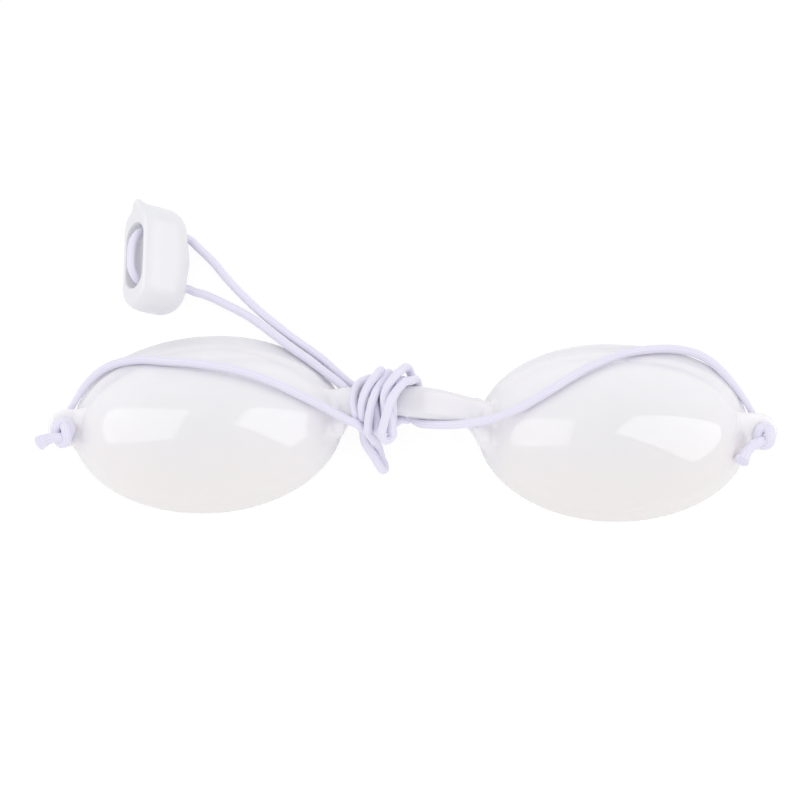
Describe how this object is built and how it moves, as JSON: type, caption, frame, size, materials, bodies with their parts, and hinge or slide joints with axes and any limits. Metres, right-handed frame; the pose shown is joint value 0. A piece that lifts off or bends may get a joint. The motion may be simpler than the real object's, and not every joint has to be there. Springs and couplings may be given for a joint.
{
  "type": "laser eye shield",
  "caption": "White moulded laser eye shield: domed opaque eye cups on a flexible nose bridge, with a knotted elastic head cord wound round the bridge and a cord lock.",
  "frame": {"origin": "middle of the moulding's bounding box, on the plane of the cups' rims", "axes": "+X from the left cup to the right cup as seen from the front, +Y towards the brow, +Z out of the face"},
  "size_m": [0.1624, 0.0714, 0.019],
  "materials": {
    "shell": "glossy, slightly translucent moulded white",
    "cord": "braided elastic, pale lilac",
    "lock": "satin moulded white"
  },
  "bodies": {
    "left_side": {"left_eyecup": "shell", "nose_bridge": "shell", "bridge_flexure": "shell", "left_knot": "cord", "left_cord_stretch": "cord", "outer_winding": "cord", "lock_cord_loop": "cord", "inner_winding": "cord"},
    "right_side": {"right_eyecup": "shell", "right_knot": "cord", "right_cord_stretch": "cord"},
    "lock": {"cord_lock": "lock"}
  },
  "joints": [
    {"name": "bridge_flex", "type": "hinge", "parent": "left_side", "child": "right_side", "pos_m": [0.0072, 0.003, 0.0099], "axis": [0, 1, 0], "range_deg": [-20, 20], "stiffness_Nm_per_rad": 0.08, "deforming": ["bridge_flexure", "right_cord_stretch"]},
    {"name": "lock_slide", "type": "slide", "parent": "left_side", "child": "lock", "axis": [1, 0, 0], "range_m": [0, 0.012], "deforming": ["lock_cord_loop"]}
  ]
}
